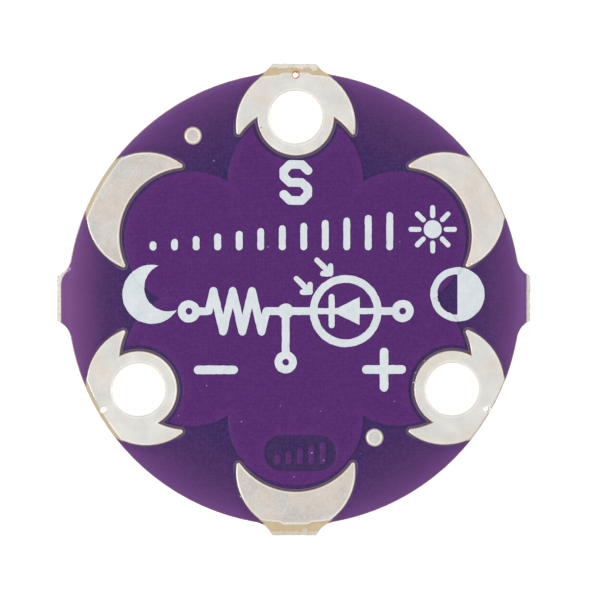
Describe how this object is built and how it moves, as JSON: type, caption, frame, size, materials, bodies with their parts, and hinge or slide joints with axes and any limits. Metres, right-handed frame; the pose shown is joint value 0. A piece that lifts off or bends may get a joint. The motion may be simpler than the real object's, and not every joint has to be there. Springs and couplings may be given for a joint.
{
  "type": "ambient light sensor board",
  "caption": "Round light sensor board for sewing into cloth, with petal-shaped pads, plated sewing holes and a chip sensor on its front.",
  "frame": {"origin": "under the middle of the routed outline, on the plane that the sensor's lens touches when the board lies with its components down", "axes": "+Z out of the bare back face that the picture shows, +Y towards the signal sewing hole, +X to the picture's right"},
  "size_m": [0.0208, 0.0207, 0.0015],
  "materials": {
    "laminate": "tan glass-epoxy laminate, routed edge with a faint weave",
    "plated_pad": "satin pale silver plating over copper",
    "covered_copper": "copper foil under the solder mask",
    "solder_mask": "satin purple lacquer",
    "white_ink": "screen printed white ink",
    "sensor_laminate": "pale laminate",
    "gold_contact": "thin gold plating",
    "sensor_chip": "polished dark silicon",
    "clear_resin": "moulded clear resin",
    "ceramic": "white fired ceramic",
    "tinned_cap": "matt tin plating",
    "black_glaze": "black glaze",
    "solder": "bright solder"
  },
  "bodies": {
    "root": {"substrate": "laminate", "signal_net": "plated_pad", "minus_net": "plated_pad", "plus_net": "plated_pad", "back_petal_upper_left": "plated_pad", "back_petal_bottom": "plated_pad", "back_petal_upper_right": "plated_pad", "front_petal_upper_left": "plated_pad", "front_petal_bottom": "plated_pad", "front_petal_upper_right": "plated_pad", "back_flower": "covered_copper", "front_flower": "covered_copper", "back_etched_bars": "covered_copper", "back_dot_high": "plated_pad", "back_dot_low": "plated_pad", "front_dot_high": "plated_pad", "front_dot_low": "plated_pad", "back_mask": "solder_mask", "front_mask": "solder_mask", "back_print": "white_ink", "front_print": "white_ink", "sensor_carrier": "sensor_laminate", "sensor_contact_signal": "gold_contact", "sensor_contact_plus": "gold_contact", "sensor_die": "sensor_chip", "sensor_bond_wire": "gold_contact", "sensor_lens": "clear_resin", "resistor_body": "ceramic", "resistor_cap_signal": "tinned_cap", "resistor_cap_minus": "tinned_cap", "resistor_overcoat": "black_glaze", "solder_sensor_signal": "solder", "solder_sensor_plus": "solder", "solder_resistor_signal": "solder", "solder_resistor_minus": "solder"}
  },
  "joints": []
}
